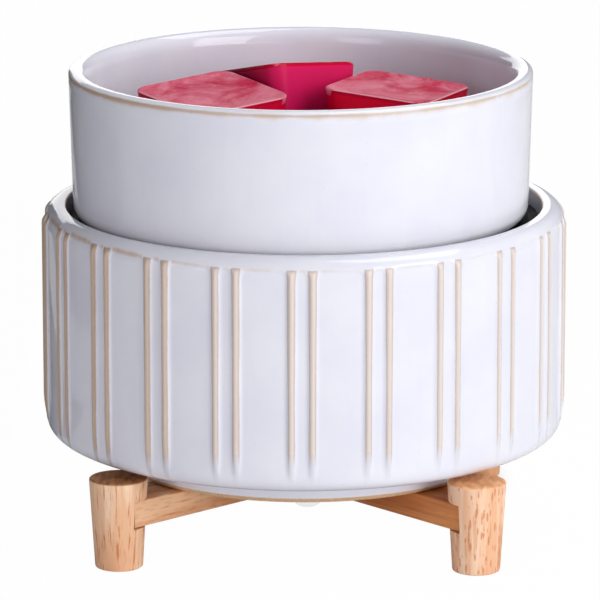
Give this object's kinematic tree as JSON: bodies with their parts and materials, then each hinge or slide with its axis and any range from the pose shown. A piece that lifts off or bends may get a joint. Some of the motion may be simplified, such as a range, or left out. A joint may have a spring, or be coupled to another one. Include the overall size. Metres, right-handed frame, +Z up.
{
  "type": "candle warmer",
  "caption": "Fluted ceramic candle and wax warmer with a hot plate, a lift-off melt dish holding wax cubes, and a cross-braced wooden stand.",
  "frame": {"origin": "on the surface the stand rests on, on the vertical axis of the drum and of the stand's four legs", "axes": "+Z up, +Y to the rear where the cord bush is, +X to the right seen from the front; the legs stand on the diagonals"},
  "size_m": [0.1396, 0.14, 0.1243],
  "materials": {
    "glaze": "glossy bluish-white glaze, thin and tan where it breaks over the edges",
    "wood": "clear satin over rubberwood or beech",
    "hot_plate": "black heat-resistant coat, satin",
    "wax": "scented wax, glossy moulded sides and a frosted poured face",
    "clear_silicone": "clear soft dome",
    "gasket": "rust-red silicone",
    "mica": "mica sheet",
    "felt": "pale insulating felt",
    "steel": "zinc-plated",
    "lead_sleeve": "white glass-fibre sleeve",
    "nylon": "natural nylon",
    "grommet": "matte pale grey",
    "cover": "satin black"
  },
  "bodies": {
    "stand": {"leg_front_left": "wood", "leg_front_right": "wood", "leg_rear_left": "wood", "leg_rear_right": "wood", "brace_lower": "wood", "brace_upper": "wood", "dowel_front_left": "wood", "dowel_front_right": "wood", "dowel_rear_left": "wood", "dowel_rear_right": "wood"},
    "warmer": {"ceramic_body": "glaze", "cord_grommet": "grommet", "hot_plate": "hot_plate", "plate_gasket": "gasket", "heating_element": "mica", "insulation_pad": "felt", "clamp_plate": "steel", "thermal_fuse": "lead_sleeve", "fuse_clip": "steel", "bottom_cover": "cover", "lead_element_to_fuse": "lead_sleeve", "lead_fuse_to_connector": "lead_sleeve", "lead_element_to_connector": "lead_sleeve", "wire_connector_fuse": "nylon", "wire_connector_element": "nylon", "clamp_nut_1": "steel", "spacer_post_1": "steel", "cover_screw_1": "steel", "clamp_nut_2": "steel", "spacer_post_2": "steel", "cover_screw_2": "steel", "clamp_nut_3": "steel", "spacer_post_3": "steel", "cover_screw_3": "steel", "bumper_front": "clear_silicone", "bumper_rear": "clear_silicone", "bumper_left": "clear_silicone", "bumper_right": "clear_silicone"},
    "dish": {"melt_dish": "glaze"},
    "wax_left": {"wax_cube_left": "wax"},
    "wax_right": {"wax_cube_right": "wax"},
    "wax_rear": {"wax_cube_rear": "wax"}
  },
  "joints": [
    {"name": "warmer_lift", "type": "slide", "parent": "stand", "child": "warmer", "axis": [0, 0, 1], "range_m": [0, 0.04]},
    {"name": "dish_lift", "type": "slide", "parent": "warmer", "child": "dish", "axis": [0, 0, 1], "range_m": [0, 0.06]},
    {"name": "wax_left_lift", "type": "slide", "parent": "dish", "child": "wax_left", "axis": [0, 0, 1], "range_m": [0, 0.06]},
    {"name": "wax_right_lift", "type": "slide", "parent": "dish", "child": "wax_right", "axis": [0, 0, 1], "range_m": [0, 0.06]},
    {"name": "wax_rear_lift", "type": "slide", "parent": "dish", "child": "wax_rear", "axis": [0, 0, 1], "range_m": [0, 0.06]}
  ]
}
